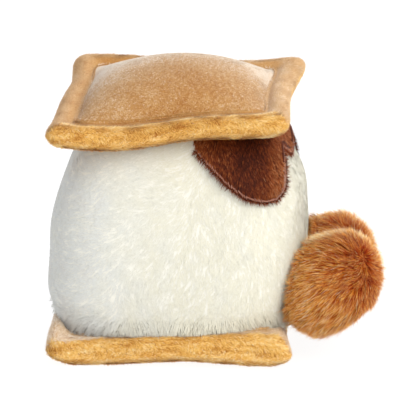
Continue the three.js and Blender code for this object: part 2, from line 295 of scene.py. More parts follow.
# ---- Surfaces ----
class Surface:
    """A grid of points joined into faces, with a normal and named values at each point."""

    def __init__(self, grid, closed_round=True, **values):
        rows, columns = grid.shape[:2]
        self.points = grid.reshape(-1, 3).copy()
        self.values = {k: np.broadcast_to(v, (rows, columns)).reshape(-1).copy() for k, v in values.items()}
        steps_round = columns if closed_round else columns - 1
        i, j = np.meshgrid(np.arange(rows - 1), np.arange(steps_round), indexing="ij")
        a, b = i * columns + j, i * columns + (j + 1) % columns
        self.quads = np.stack([a, b, b + columns, a + columns], -1).reshape(-1, 4)
        self.refresh()

    def refresh(self):
        q = self.quads
        self.triangles = np.vstack([q[:, [0, 1, 2]], q[:, [0, 2, 3]]])
        p = self.points[self.triangles]
        face_normals = np.cross(p[:, 1] - p[:, 0], p[:, 2] - p[:, 0])
        self.areas = np.linalg.norm(face_normals, axis=1) / 2
        normals = np.zeros_like(self.points)
        for k in range(3):
            np.add.at(normals, self.triangles[:, k], face_normals)
        self.normals = unit(normals)

    def push(self, distance):
        """Moves each point along its normal."""
        self.points = self.points + self.normals * np.reshape(distance, (-1, 1))
        self.refresh()

    def lift(self, height):
        """Moves each point up."""
        self.points[:, 2] += height
        self.refresh()

    def scatter(self, count, weight, seed):
        """Points spread by area times weight: a dict of place, normal and the named values."""
        rng = np.random.default_rng(seed)
        chance = self.areas * np.clip(weight[self.triangles].mean(1), 0, None)
        face = rng.choice(len(chance), count, p=chance / chance.sum())
        a, b = rng.random((2, count))
        over = a + b > 1
        a, b = np.where(over, 1 - a, a), np.where(over, 1 - b, b)
        share = np.stack([1 - a - b, a, b], 1)[:, :, None]
        corners = self.triangles[face]
        spread = {k: (v[corners] * share[:, :, 0]).sum(1) for k, v in self.values.items()}
        spread["place"] = (self.points[corners] * share).sum(1)
        spread["normal"] = unit((self.normals[corners] * share).sum(1))
        return spread


def frame_shift():
    """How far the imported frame's origin lies from the shapes' own, by the lower cracker's footprint."""
    low, high = (np.array(c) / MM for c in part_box("cracker_bottom"))
    x, flat_y, *_ = cushion(BASE_HALF, BASE["under"], BASE["crown"], SOLID_COLUMNS)
    y = flat_y * (1 - drawn_in(x, flat_y))
    shift_x = (low[0] + high[0] - x.min() - x.max()) / 2
    shift_y = (low[1] + high[1] - y.min() - y.max()) / 2
    return np.array([shift_x, shift_y, 0.0])


SHIFT = frame_shift()
WELD_DISTANCE = 0.02


def new_object(name, points, faces, material, uv=None, normals=None):
    """A mesh object from millimetre points, with a UV and a shading normal for each point if given."""
    mesh = bpy.data.meshes.new(name)
    faces = np.asarray(faces)
    mesh.vertices.add(len(points))
    mesh.vertices.foreach_set("co", np.asarray(points, np.float32).ravel() * MM)
    mesh.loops.add(faces.size)
    mesh.loops.foreach_set("vertex_index", faces.astype(np.int32).ravel())
    mesh.polygons.add(len(faces))
    mesh.polygons.foreach_set("loop_start", np.arange(0, faces.size, faces.shape[1], dtype=np.int32))
    mesh.update(calc_edges=True)
    mesh.shade_smooth()
    if uv is not None:
        layer = mesh.uv_layers.new(name="OFBake")
        layer.data.foreach_set("uv", uv[faces.ravel()].astype(np.float32).ravel())
    if normals is not None:
        mesh.normals_split_custom_set_from_vertices(normals.astype(np.float32).tolist())
    mesh.materials.append(material)
    obj = bpy.data.objects.new(name, mesh)
    bpy.context.scene.collection.objects.link(obj)
    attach(obj, "root")
    return obj


def skin(name, surface, material, node, tone=None):
    """The sewn fabric under the pile, with the pile's tone at each point where its material reads one.
    Repeated points at a grid's poles are merged."""
    obj = new_object(name, surface.points + SHIFT, surface.quads, material)
    if tone is not None:
        attribute = obj.data.attributes.new("tone", "FLOAT", "POINT")
        attribute.data.foreach_set("value", tone.astype(np.float32))
    merge = obj.modifiers.new("merge", "WELD")
    merge.merge_threshold = WELD_DISTANCE * MM
    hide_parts(node)
    return obj


# ---- Pile ----
LENGTH_RANGE = (0.75, 1.15)  # how much each ribbon's length varies
LIFT_RANGE = (0.7, 1.3)
STRAY_LIFT = 2.4  # how much more steeply a stray ribbon stands
UV_HALF_WIDTH = 0.006


def pile(name, roots, comb, material, slot, *, length, width, lift, tone, normal_blend, seed, segments=2,
         clump=(1, 0, 0), droop=0.0, tone_noise=0.06, spread=0.15, twist=0.5, strays=0.04):
    """Tapered ribbons that stand on roots and lean along comb. lift is how steeply they start, from 0, flat,
    to 1, upright. clump is (ribbons in a tuft, tuft radius, how far its tips close up). normal_blend is how
    far their shading follows the skin's. u of the UV map is the ribbon's tone and v runs from root to tip."""
    rng = np.random.default_rng(seed)
    place, normal = roots["place"], roots["normal"]
    per_root, radius, closing = clump
    count = len(place) * per_root
    tuft = np.repeat(np.arange(len(place)), per_root)

    def of_tuft(value):
        return value if np.ndim(value) == 0 else value[tuft]

    lean = comb - normal * (comb * normal).sum(1, keepdims=True)
    lean = unit(lean + rng.normal(size=lean.shape) * 1e-4)
    across = np.cross(normal, lean)
    turn = rng.normal(size=count)[:, None] * spread + (rng.normal(size=len(place)) * spread)[tuft][:, None]
    n, c, s = normal[tuft], lean[tuft], across[tuft]
    side_step = rng.normal(size=(count, 2)) * radius
    root = place[tuft] + c * side_step[:, :1] + s * side_step[:, 1:]
    c = c * np.cos(turn) + s * np.sin(turn)
    step = (of_tuft(length) * rng.uniform(*LENGTH_RANGE, count))[:, None] / segments
    stray = np.where(rng.random(count) < strays, STRAY_LIFT, 1.0)
    own_lift = np.clip(of_tuft(lift) * rng.uniform(*LIFT_RANGE, count) * stray, 0.03, 1)
    u = np.clip(tone[tuft] + rng.normal(size=count) * tone_noise, 0.02, 0.98)

    line, leader = [root], [place[tuft]]
    for k in range(segments):
        up = own_lift * (1 - droop * (k + 0.5) / segments)
        level = np.sqrt(np.clip(1 - up**2, 0.02, 1))[:, None]
        line.append(line[-1] + unit(n * up[:, None] + c * level) * step)
        leader.append(leader[-1] + unit(n * up[:, None] + lean[tuft] * level) * step)
    for k in range(1, segments + 1):
        pull = closing * (k / segments) ** 1.3
        line[k] = line[k] * (1 - pull) + leader[k] * pull

    roll = np.clip(rng.normal(size=count) * twist, -1.3, 1.3)[:, None]
    own_width = np.reshape(of_tuft(width), (-1, 1))
    points, uv, shade = [], [], []
    for k in range(segments + 1):
        along = unit(line[min(k + 1, segments)] - line[max(k - 1, 0)])
        flat = unit(np.cross(along, n + 1e-3))
        out = np.cross(flat, along)
        flat = flat * np.cos(roll) + out * np.sin(roll)
        out = np.cross(flat, along)
        half_width = own_width / 2 * (1 - (k / segments) ** 1.5)
        v = np.full(count, k / segments)
        normals = unit(out * (1 - normal_blend) + n * normal_blend)
        if k < segments:
            points += [line[k] - flat * half_width, line[k] + flat * half_width]
            uv += [np.stack([u - UV_HALF_WIDTH, v], 1), np.stack([u + UV_HALF_WIDTH, v], 1)]
            shade += [normals, normals]
        else:
            points.append(line[k])
            uv.append(np.stack([u, v], 1))
            shade.append(normals)
    per = len(points)
    points = np.stack(points, 1).reshape(-1, 3)
    uv = np.stack(uv, 1).reshape(-1, 2)
    shade = np.stack(shade, 1).reshape(-1, 3)
    pattern = []
    for k in range(segments - 1):
        pattern += [(2 * k, 2 * k + 1, 2 * k + 2), (2 * k + 1, 2 * k + 3, 2 * k + 2)]
    pattern.append((2 * segments - 2, 2 * segments - 1, 2 * segments))
    faces = (np.arange(count)[:, None, None] * per + np.array(pattern)[None]).reshape(-1, 3)
    new_object(name, points + SHIFT, faces, material, uv, shade)


# ---- Materials ----
TIP_FROM = 0.55  # how far along a ribbon its tip's own colour starts


def new_material(name, roughness=0.8, sheen=0.0, specular=0.25):
    material = bpy.data.materials.new(name)
    material.use_nodes = True
    shader = material.node_tree.nodes["Principled BSDF"]
    shader.inputs["Roughness"].default_value = roughness
    shader.inputs["Specular IOR Level"].default_value = specular
    shader.inputs["Sheen Weight"].default_value = sheen
    shader.inputs["Sheen Roughness"].default_value = 0.5
    return material, material.node_tree, shader


def linear(colour):
    """An sRGB colour of 0 to 255 as the linear numbers that shaders use."""
    c = np.array(colour) / 255
    return (*np.where(c <= 0.04045, c / 12.92, ((c + 0.055) / 1.055) ** 2.4), 1)


def ramp(tree, stops):
    node = tree.nodes.new("ShaderNodeValToRGB")
    elements = node.color_ramp.elements
    while len(elements) < len(stops):
        elements.new(0.5)
    for element, (place, colour) in zip(elements, stops):
        element.position = place
        element.color = linear(colour)
    return node


def multiplied(tree, first, second):
    """The output that is the product of two ramps' colours."""
    mix = tree.nodes.new("ShaderNodeMix")
    mix.data_type = "RGBA"
    mix.blend_type = "MULTIPLY"
    mix.inputs["Factor"].default_value = 1
    tree.links.new(first.outputs["Color"], mix.inputs["A"])
    tree.links.new(second.outputs["Color"], mix.inputs["B"])
    return mix.outputs["Result"]


def pile_material(name, tones, root_tint_and_shade, tip=None, **finish):
    """Colour by the UV map alone: u picks the tone, v runs from the root's shade to the tip's, partly the
    pile's own darker roots and partly painted shade deep in the pile. tip is the colour that the outer part
    fades to, and how far it does."""
    material, tree, shader = new_material(name, **finish)
    uv = tree.nodes.new("ShaderNodeUVMap")
    uv.uv_map = "OFBake"
    parts = tree.nodes.new("ShaderNodeSeparateXYZ")
    tone, shade = ramp(tree, tones), ramp(tree, root_tint_and_shade)
    tree.links.new(uv.outputs["UV"], parts.inputs["Vector"])
    tree.links.new(parts.outputs["X"], tone.inputs["Fac"])
    tree.links.new(parts.outputs["Y"], shade.inputs["Fac"])
    colour = multiplied(tree, tone, shade)
    if tip:
        tip_colour, amount = tip
        fade, fading = tree.nodes.new("ShaderNodeMapRange"), tree.nodes.new("ShaderNodeMix")
        fade.inputs["From Min"].default_value = TIP_FROM
        fade.inputs["To Max"].default_value = amount
        fading.data_type = "RGBA"
        fading.inputs["B"].default_value = linear(tip_colour)
        tree.links.new(parts.outputs["Y"], fade.inputs["Value"])
        tree.links.new(fade.outputs["Result"], fading.inputs["Factor"])
        tree.links.new(colour, fading.inputs["A"])
        colour = fading.outputs["Result"]
    tree.links.new(colour, shader.inputs["Base Color"])
    return material


def fabric_material(name, dark, light, scale, tones=None, **finish):
    """The ground under a pile: two shades mixed by fine noise, with a little bump. With tones, the shades are
    multiplied with the pile's own colour at each point."""
    material, tree, shader = new_material(name, **finish)
    place = tree.nodes.new("ShaderNodeTexCoord")
    noise = tree.nodes.new("ShaderNodeTexNoise")
    noise.inputs["Scale"].default_value = scale
    noise.inputs["Detail"].default_value = 4
    shades = ramp(tree, [(0.3, dark), (0.7, light)])
    colour = shades.outputs["Color"]
    if tones:
        read, tone = tree.nodes.new("ShaderNodeAttribute"), ramp(tree, tones)
        read.attribute_name = "tone"
        tree.links.new(read.outputs["Fac"], tone.inputs["Fac"])
        colour = multiplied(tree, tone, shades)
    bump = tree.nodes.new("ShaderNodeBump")
    bump.inputs["Strength"].default_value = 0.4
    bump.inputs["Distance"].default_value = 0.0003
    tree.links.new(place.outputs["Object"], noise.inputs["Vector"])
    tree.links.new(noise.outputs["Fac"], shades.inputs["Fac"])
    tree.links.new(noise.outputs["Fac"], bump.inputs["Height"])
    tree.links.new(colour, shader.inputs["Base Color"])
    tree.links.new(bump.outputs["Normal"], shader.inputs["Normal"])
    return material


# ---- Crackers ----
SEAM_AT = HALF - SEAM_INSET - PULL_IN * 0.7  # about how far from the middle the sewn line runs
SEAM_GAP = 1.1  # half the width of the strip over the sewn line where the pile is thinner
COVERED_TO = 31  # how far from the middle the body covers each cracker
UNDERSIDE = -89  # the profile's own angle, below which it is the flat underside
LEAST_PILE = 0.03  # the share of its pile that a covered place keeps
PLAIN, GOLDEN = (0.0, 0.6), (0.7, 1.0)  # the stretches of the tones below
CRACKER_TONES = [
    (0.0, (176, 114, 54)), (0.15, (204, 154, 90)), (0.35, (222, 184, 134)), (0.6, (255, 244, 230)),
    (0.7, (184, 112, 34)), (0.8, (232, 178, 86)), (0.9, (249, 209, 122)), (1.0, (255, 238, 192)),
]
HIGHLIGHT_BELOW = {
    # how far down the near roll its paler top, a painted highlight, reaches: y, from front to back, and the
    # roll's own angle
    "cracker_top": ([-50, 50], [104, 104]),
    "cracker_bottom": ([-50, 28, 37, 44, 50], [85, 78, 60, 34, 40]),
}
cracker_pile_material = pile_material(
    "cracker_pile", CRACKER_TONES, [(0.0, (225, 214, 200)), (0.5, (248, 245, 240)), (1.0, (255, 255, 255))],
    roughness=0.75, sheen=0.2,
)
cracker_ground = fabric_material("cracker_ground", (232, 221, 208), (250, 244, 236), 900, CRACKER_TONES)


def cracker_surface(half, under, crown, place, inset=1.0, **form):
    """place(x, y, z) puts a flat cushion's points where they belong. inset is the share of the skin's inset
    that the underside keeps."""
    x, y, z, panel, turn = cushion(half, under, crown, 136, **form)
    grid = np.stack(place(x, y, z), -1)
    surface = Surface(grid, panel=panel, turn=turn, flat_x=x, flat_y=y)
    surface.push(-SKIN_INSET["cracker"] * np.where(surface.values["turn"] < -20, inset, 1))
    return surface


def lid_surface():
    def thickness(x, y):
        near = np.interp(-y, [-HALF, 0, HALF], NEAR_ROLL)
        return np.where(x < 0, 1 + (near - 1) * smoothstep(-x, 20, 40), 1)

    def place(x, y, z):
        back_pull = BACK_PULL * bell(x, 22, 16) * smoothstep(y, 25, 45)
        front_pull = FRONT_PULL * bell(x, 2, 20) * smoothstep(-y, 25, 45)
        raised = far_raise(x, y)
        new_y = y + LID["back"] - back_pull + front_pull
        for corner_x, corner_y, up, back, spread in LID_CORNERS:
            corner = mound(x, y, corner_x, corner_y, spread)
            raised = raised + up * corner
            new_y = new_y + back * corner
        dip = NEAR_DIP * bell(new_y, 19, 13) - NEAR_DIP * bell(new_y, -8, 14)
        return x, new_y, z + lid_height(x, new_y) + raised - dip * smoothstep(-x, 28, 42)

    return cracker_surface(HALF, LID["under"], LID["crown"], place, thickness=thickness,
                           groove=GROOVES["lid"])


def base_surface():
    def place(x, y, z):
        low_corner = bell(x, -HALF, 14) * bell(y, HALF, 14)
        raised = 0.7 * smoothstep(-x, 24, 40) * smoothstep(-y, -12, 12) * smoothstep(-z, 0, 3)
        raised = raised + front_puff(x, y) * smoothstep(z, 0, 4)
        return x, y * (1 - drawn_in(x, y)), z + BASE["height"] + base_lift(x, y) + raised - 0.6 * low_corner

    return cracker_surface(BASE_HALF, BASE["under"], BASE["crown"], place, inset=0.3, groove=GROOVES["base"],
                           settled=BASE_SETTLED)


def lid_bare(values, reach):
    return np.where((values["turn"] <= UNDERSIDE) & (reach < COVERED_TO), 0, 1)


def base_bare(values, reach):
    uncovered = np.where(values["panel"] > 0.5, smoothstep(reach, COVERED_TO, COVERED_TO + 2), 1)
    return uncovered * np.where(values["turn"] <= UNDERSIDE, 0.4, 1)


def from_parting(turn, place, seed):
    """How far above the uneven line where the roll's pile parts, in degrees round the roll."""
    return turn + 5 + 12 * wobble(place * (1, 0.5, 1), 9, seed + 3)


def cracker_tone(roots, name, seed, noise=0.0):
    """Golden on the rolls' outsides, and on the rest golden brown in the panel's middle and paler towards its
    far side and edges, a painted sheen, and on the tops of the rolls, a painted highlight. The folds beside
    the panel and each roll's parting are darker, painted shade. noise is a random number for each root."""
    x, y, turn, place = roots["flat_x"], roots["flat_y"], roots["turn"], roots["place"]
    is_base = name == "cracker_bottom"
    # Paler towards the panel's far side and its edges: painted sheen.
    panel = 0.13 + 0.46 * smoothstep(x, -22, 28) + 0.14 * smoothstep(np.abs(y + 6), 4, 38)
    panel = panel + 0.07 * wobble(place, 1.1, seed + 6) + 0.07 * noise
    corner = smoothstep(np.abs(y) - np.abs(x), -4, 6)
    streak = np.where(corner > 0.5, wobble(place * (0.22, 1, 1.5), 2.4, seed + 7),
                      wobble(place * (1, 0.22, 1.5), 2.4, seed + 8))
    side = np.where(y < 0, 0.3, 0.23) + 0.03 * streak + is_base * (0.12 + 0.14 * (y > 25))
    # Darker going into the fold beside the panel on the near and far rolls: painted shade.
    side = side - 0.1 * smoothstep(turn, 95, 125) * smoothstep(np.abs(x) - np.abs(y), -6, 4)
    plain = np.where(roots["panel"] > 0.5, panel, side) + 0.02 * wobble(place, 14, seed + 5) + 0.06 * noise
    # Above this angle the near roll takes the paler plain tone: a painted highlight on its top.
    near_side = (x < 0) & (corner < 0.5)
    edge = np.where(near_side, np.interp(y, *HIGHLIGHT_BELOW[name]), 10)
    golden = 0.82 + 0.02 * smoothstep(-y, 20, 42) + 0.03 * smoothstep(-turn, -20, 30)
    golden = golden + 0.05 * streak + 0.065 * noise
    # The lower cracker's golden is painted paler to make up for the less light that reaches it.
    golden = golden + 0.03 * is_base
    # Darker along the roll's parting below: painted shade in its crease.
    parting_shade = 0.09 if is_base else 0.05
    # Below, the rise between 72 and 92 degrees round the roll is a painted highlight along its crest.
    golden = golden - parting_shade * bell(from_parting(turn, place, seed), 0, 8) + 0.07 * smoothstep(turn, 72, 92)
    is_golden = (roots["panel"] < 0.5) & (turn < edge + 4 * noise)
    return np.where(is_golden, np.clip(golden, *GOLDEN), np.clip(plain, *PLAIN))


def cracker_comb(roots, on_panel, in_fold, seed, rng):
    """Which way the pile lies: along the roll and away from its parting, and nearly even on the panel."""
    flat_x, flat_y, place = roots["flat_x"], roots["flat_y"], roots["place"]
    outward = unit(np.stack([flat_x**5, flat_y**5, 0 * flat_x], 1))
    along = np.stack([np.abs(outward[:, 1]), -np.abs(outward[:, 0]), 0 * flat_x], 1)
    up = np.where(from_parting(roots["turn"], place, seed)[:, None] > 0, -0.6, 0.6) * np.array([0, 0, 1.0])
    over_roll = outward * 0.3 + up + 0.8 * along
    comb = np.where(on_panel, np.array([0.3, 0.2, 0.0]), over_roll * (1 - in_fold) + along * in_fold)
    comb = comb + np.where(on_panel, 0.2, 0.4) * wobbly_way(place, 7, seed)
    return comb + rng.normal(size=comb.shape) * np.where(on_panel, 0.7, 0.3)


def cracker(name, slot, surface, bare, tufts, seed):
    """bare(values, reach) is 0 where the marshmallow covers the cushion, and 1 where all of it shows."""
    values = surface.values
    tone = cracker_tone({**values, "place": surface.points}, name, seed)
    skin(f"{name}_skin", surface, cracker_ground, name, tone)
    reach = np.maximum(np.abs(values["flat_x"]), np.abs(values["flat_y"]))
    over_seam = (values["turn"] > 80) & (np.abs(reach - SEAM_AT) < SEAM_GAP)
    weight = np.where(over_seam, 0.8, 1.0) * np.clip(bare(values, reach), LEAST_PILE, 1)
    roots = surface.scatter(tufts, weight, seed)
    on_panel = roots["panel"][:, None] > 0.5
    in_fold = smoothstep(roots["turn"], 85, 115)[:, None] * ~on_panel
    rng = np.random.default_rng(seed + 9)
    comb = cracker_comb(roots, on_panel, in_fold, seed, rng)
    tone = cracker_tone(roots, name, seed, rng.normal(size=len(comb)))
    short = np.maximum(on_panel, in_fold)[:, 0]
    pile(f"{name}_pile", roots, comb, cracker_pile_material, slot, length=1.8 - 0.8 * short,
         width=0.36 - 0.06 * short, lift=0.3 - 0.17 * short, tone=tone, normal_blend=0.9, seed=seed,
         segments=1, tone_noise=0.0, twist=0.15, strays=0.0)


cracker("cracker_top", "cracker_velour", lid_surface(), lid_bare, tufts=180000, seed=11)
cracker("cracker_bottom", "cracker_velour_lower", base_surface(), base_bare, tufts=125000, seed=23)

# ---- Marshmallow ----
SIDE_FROM = 0.09  # share of the body's height where its rounded lower edge ends
BODY_REACH = 45  # about how far the body reaches from its axis
FUR_LAYERS = {
    "marshmallow_fur": {"tufts": 27500, "clump": (2, 0.4, 0), "length": 2.8, "width": 0.4, "lift": 0.055},
    "marshmallow_fluff": {"tufts": 4000, "clump": (2, 0.4, 0.2), "length": 3.0, "width": 0.14, "lift": 0.09},
    "marshmallow_hem": {"tufts": 7000, "clump": (2, 0.5, 0.1), "length": 5.4, "width": 0.38, "lift": 0.2},
}
fur_material = pile_material(
    "marshmallow_fur",
    # The low tones' warmer grey and pink serve the painted shadow and reflection at the lower edge, the cool
    # grey at 0.45 the painted shade behind.
    [(0.0, (216, 176, 150)), (0.2, (218, 210, 200)), (0.45, (220, 222, 219)), (0.7, (225, 223, 208)),
     (1.0, (230, 228, 214))],
    [(0.0, (246, 244, 240)), (0.5, (252, 251, 249)), (1.0, (255, 255, 255))],
    roughness=0.75, sheen=0.1,
)
fur_ground = fabric_material("marshmallow_ground", (224, 222, 212), (230, 228, 218), 500)
hem_half = smooth_through(HEM, 12)


def fullness(points):
    """How far the body stands out from its plain form: it sags low behind and is drawn in under the patch."""
    y, z = points[:, 1], points[:, 2]
    behind = 0.7 * bell(z, 23, 6) - 1.0 * bell(z, 38, 9)
    before = 0.8 * bell(z, 62, 7) - 0.9 * bell(z, 76, 7)
    return behind * smoothstep(y, 20, 45) + before * smoothstep(-y, 20, 40)


def meet_lid(surface):
    """Lifts the top of what lies on the body up to the lid's underside, which it is sewn to."""
    x, y, z = surface.points.T
    surface.lift((LID_GAP + far_raise(x, y)) * smoothstep(body_share(x, y, z), 0.85, 0.98))


def body_surface():
    lower = smooth_through([(0, 0), (0.5, 0), (0.8, 0), (0.91, 0.018), (0.975, 0.048), (1, SIDE_FROM)], 4)
    side = [(1, s) for s in np.linspace(SIDE_FROM, BODY_RIM_FROM, 50)[1:]]
    rim_shares = BODY_RIM_FROM + (1 - BODY_RIM_FROM) * np.sin(np.linspace(0, math.pi / 2, 14))[1:]
    rim = [(float(rounding(s)), s) for s in rim_shares]
    top = [(0.6, 1), (0.3, 1), (0, 1)]
    inward, share = np.array([*lower, *side, *rim, *top]).T[:, :, None]
    angle = round_the_square(140)[None, :]
    surface = Surface(body_point(angle, share, inward), share=share)
    surface.push(fullness(surface.points) - SKIN_INSET["body"])
    meet_lid(surface)
    x, y, _ = surface.points.T
    surface.lift(front_puff(x, y) * (1 - smoothstep(surface.values["share"], 0, 0.16)))
    return surface


def above_hem(place):
    """How far a place on the body lies above the patch's hem, in millimetres; negative off the patch."""
    degrees = np.abs((np.degrees(np.arctan2(place[:, 1], place[:, 0])) - 270 + 180) % 360 - 180)
    order = np.argsort(hem_half[:, 0])
    return place[:, 2] - np.interp(degrees, hem_half[order, 0], hem_half[order, 1], right=200)


def fur_layer(name, surface, weight, seed, *, tufts, **look_of):
    """One kind of strand. It lies downwards in front, round the body behind, and hangs at the lower edge."""
    roots = surface.scatter(tufts, weight, seed)
    place = roots["place"]
    around = np.stack([-place[:, 1], place[:, 0], 0 * place[:, 0]], 1) / BODY_REACH
    down = np.array([0, 0, -1.0])
    back_side = smoothstep(place[:, 1], -20, 30)[:, None]
    front_side = smoothstep(-place[:, 1], 8, 36)[:, None]
    comb = down * (1 - 0.6 * back_side) - around * back_side - place * (0.02, 0, 0) * front_side
    comb = comb + 0.45 * wobbly_way(place, 26, 50)
    hanging = 1 - smoothstep(roots["share"], 0.03, 0.14)[:, None]
    outward = unit(place * (1, 1, 0))
    comb = comb + (2 * down + 0.8 * outward) * hanging
    roots["normal"] = unit(roots["normal"] * (1 - hanging) + (outward - 0.3 * down) * hanging)
    # Cooler grey towards the back, warmer cream in front: painted cool shade on the side away from the key
    # light.
    tone = 0.7 - 0.25 * smoothstep(place[:, 1], -10, 38) + 0.04 * wobble(place, 10, 55)
    # The lowest strands are painted darker and pinker: painted shadow and reflection of the cracker below.
    tone = tone - 0.12 * (1 - smoothstep(roots["share"], 0.0, 0.05))
    pile(name, roots, comb, fur_material, "marshmallow_fur", tone=tone, normal_blend=0.97, seed=seed + 10,
         droop=0.5, tone_noise=0.012, twist=0.15, strays=0.01, **look_of)


def marshmallow():
    surface = body_surface()
    skin("marshmallow_skin", surface, fur_ground, "marshmallow")
    share = surface.values["share"]
    free = (share > 0.01) & (share < 0.985)
    weight = np.where(free, 1.0, LEAST_PILE) * np.where(above_hem(surface.points) > 1.5, 0.0, 1.0)
    at_hem = 1 - smoothstep(share, SIDE_FROM, 0.14)
    for seed, (name, look_of) in enumerate(FUR_LAYERS.items(), 41):
        fur_layer(name, surface, weight * (at_hem if name == "marshmallow_hem" else 1), seed, **look_of)


marshmallow()

# ---- Chocolate and its hem ----
STITCH = {"pitch": 0.85, "slant": 0.9, "half_length": 0.8, "radius": 0.26, "proud": 0.9, "sides": 6,
          "rings": 5}
chocolate_material = pile_material(
    "chocolate_pile",
    [(0.0, (38, 11, 5)), (0.35, (92, 34, 12)), (0.6, (140, 64, 22)), (0.8, (184, 104, 52)),
     (1.0, (218, 156, 112))],
    [(0.0, (120, 95, 80)), (0.6, (225, 220, 215)), (1.0, (255, 255, 255))],
    roughness=0.6, specular=0.15,
)
chocolate_ground = fabric_material("chocolate_ground", (60, 24, 12), (92, 40, 20), 600)
thread_material = fabric_material("edging_thread", (112, 66, 52), (182, 130, 110), 1500)


def hem_line():
    return np.vstack([hem_half[::-1] * (-1, 1), hem_half[1:]])


def patch_sunk(degrees):
    return PATCH_SUNK * bell(degrees, 0, 25)


def patch_surface():
    degrees, height = hem_line().T
    edge = over_body(degrees, height, PATCH_PROUD)
    start = body_share(edge[:, 0], edge[:, 1], edge[:, 2])
    up = np.linspace(0, 1, 30)[:, None]
    share = start[None] + (PATCH_TOP - start[None]) * up
    off = PATCH_PROUD * (1 - 2.2 * np.exp(-up * 30)) - patch_sunk(degrees) + 0 * share
    angle = np.radians(270 + degrees)[None] + 0 * share
    surface = Surface(body_point(angle, share, grow=off), closed_round=False, up=up)
    surface.push(fullness(surface.points))
    meet_lid(surface)
    return surface


def chocolate():
    surface = patch_surface()
    obj = skin("chocolate_skin", surface, chocolate_ground, "chocolate")
    solid = obj.modifiers.new("solid", "SOLIDIFY")
    solid.thickness = PATCH_THICK * MM
    solid.offset = -1
    roots = surface.scatter(33000, np.ones(len(surface.points)), 61)
    place = roots["place"]
    comb = np.array([0, 0, -1.0]) + 0.12 * wobbly_way(place, 12, 62)
    streak = wobble(place * (1, 1, 0.05), 1.1, 66)
    lit = bell(place[:, 1], -41, 6) + 0.65 * smoothstep(place[:, 1], -26, -6)
    shaded = bell(place[:, 1], -30, 7) * smoothstep(place[:, 2], 72, 80)
    tone = 0.38 + 0.1 * streak + 0.04 * wobble(place, 9, 67) + 0.4 * lit - 0.12 * shaded
    tone = tone - 0.14 * bell(roots["up"], 0, 0.05)
    pile("chocolate_pile", roots, comb, chocolate_material, "chocolate_pile", length=2.4, width=0.26,
         lift=0.3, tone=tone, normal_blend=0.5, seed=63, droop=0.5, tone_noise=0.15)


def stitches(spot, way, outward):
    """A slim closed spindle at each spot, along its way, with its ends pressed down into the fabric."""
    sides, rings = STITCH["sides"], STITCH["rings"]
    turn = np.arange(sides) / sides * 2 * math.pi
    along = np.linspace(-1, 1, rings)
    radius = np.sqrt(1 - (along * 0.93) ** 2) * STITCH["radius"]
    second = unit(np.cross(way, outward))
    third = np.cross(second, way)
    section = (second[:, None, None] * np.cos(turn)[None, None, :, None]
               + third[:, None, None] * np.sin(turn)[None, None, :, None])
    points = (spot[:, None, None]
              + way[:, None, None] * along[None, :, None, None] * STITCH["half_length"]
              + section * radius[None, :, None, None]
              - outward[:, None, None] * (along**2 * 0.25)[None, :, None, None])
    j, i = np.meshgrid(np.arange(sides), np.arange(rings - 1))
    a, b = i * sides + j, i * sides + (j + 1) % sides
    quads = np.stack([a, b, b + sides, a + sides], -1).reshape(-1, 4)
    faces = (np.arange(len(spot))[:, None, None] * sides * rings + quads[None]).reshape(-1, 4)
    obj = new_object("edging_stitches", points.reshape(-1, 3) + SHIFT, faces, thread_material)
    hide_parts("chocolate_edging")


def fringe(spot, tangent, outward, across, rng):
    """The short hairs that the stitches catch."""
    pick = rng.integers(0, len(spot), 3000)
    below = -across[pick] * np.sign(across[pick][:, 2:] + 1e-9)
    place = spot[pick] + tangent[pick] * rng.uniform(-0.5, 0.5, (len(pick), 1)) + below * 0.5
    roots = {"place": place - outward[pick] * 0.2, "normal": outward[pick]}
    tone = 0.5 + 0.15 * rng.normal(size=len(pick))
    length = rng.uniform(1.0, 3.2, len(pick))
    comb = below + 0.4 * tangent[pick]
    pile("edging_fringe", roots, comb, chocolate_material, "edging_thread", length=length, width=0.2,
         lift=0.3, tone=tone, normal_blend=0.4, seed=92, segments=1, spread=0.4)


def edging():
    """Slanted stitches side by side along the hem."""
    degrees, height = hem_line().T
    course = over_body(degrees, height, STITCH["proud"] - patch_sunk(degrees))
    run = np.concatenate([[0], np.cumsum(np.linalg.norm(np.diff(course, axis=0), axis=1))])

    def on_course(distance):
        return np.stack([np.interp(distance, run, course[:, k]) for k in range(3)], 1)

    stops = np.arange(STITCH["pitch"], run[-1], STITCH["pitch"])
    spot = on_course(stops)
    tangent = unit(on_course(stops + 0.4) - spot + 1e-6)
    outward = unit(spot * (1, 1, 0))
    spot = spot + outward * fullness(spot)[:, None]
    across = unit(np.cross(tangent, outward))
    rng = np.random.default_rng(91)
    slanted = across * math.cos(STITCH["slant"]) + tangent * math.sin(STITCH["slant"])
    way = unit(slanted + rng.normal(size=tangent.shape) * 0.25)
    spot = spot + across * rng.normal(size=(len(spot), 1)) * 0.12
    stitches(spot, way, outward)
    fringe(spot, tangent, outward, across, rng)


chocolate()
edging()

# ---- Feet ----
WHORL = (-12.0, -14.5, 11.0)  # where a foot's fur parts, from its middle
foot_material = pile_material(
    "foot_fur",
    [(0.0, (158, 46, 0)), (0.3, (212, 108, 18)), (0.6, (246, 178, 66)), (0.8, (255, 222, 140)),
     (1.0, (255, 244, 214))],
    [(0.0, (140, 96, 72)), (0.4, (224, 204, 186)), (0.8, (255, 250, 245)), (1.0, (255, 255, 255))],
    tip=((255, 222, 150), 0.45),
    roughness=0.65, specular=0.06, sheen=0.04,
)
foot_ground = fabric_material("foot_ground", (150, 74, 26), (186, 108, 44), 600)


def body_front(x, z):
    """How far forward the body's front is at this place, or 0 beside the body."""
    share = body_share(x, -40, z)
    across = 1 - np.abs(x / half_size(BODY_SIDE, share)) ** BODY_SQUARENESS
    front = -half_size(BODY_FRONT, share) * np.clip(across, 0, 1) ** (1 / BODY_SQUARENESS)
    return np.where(across > 0, front, 0)


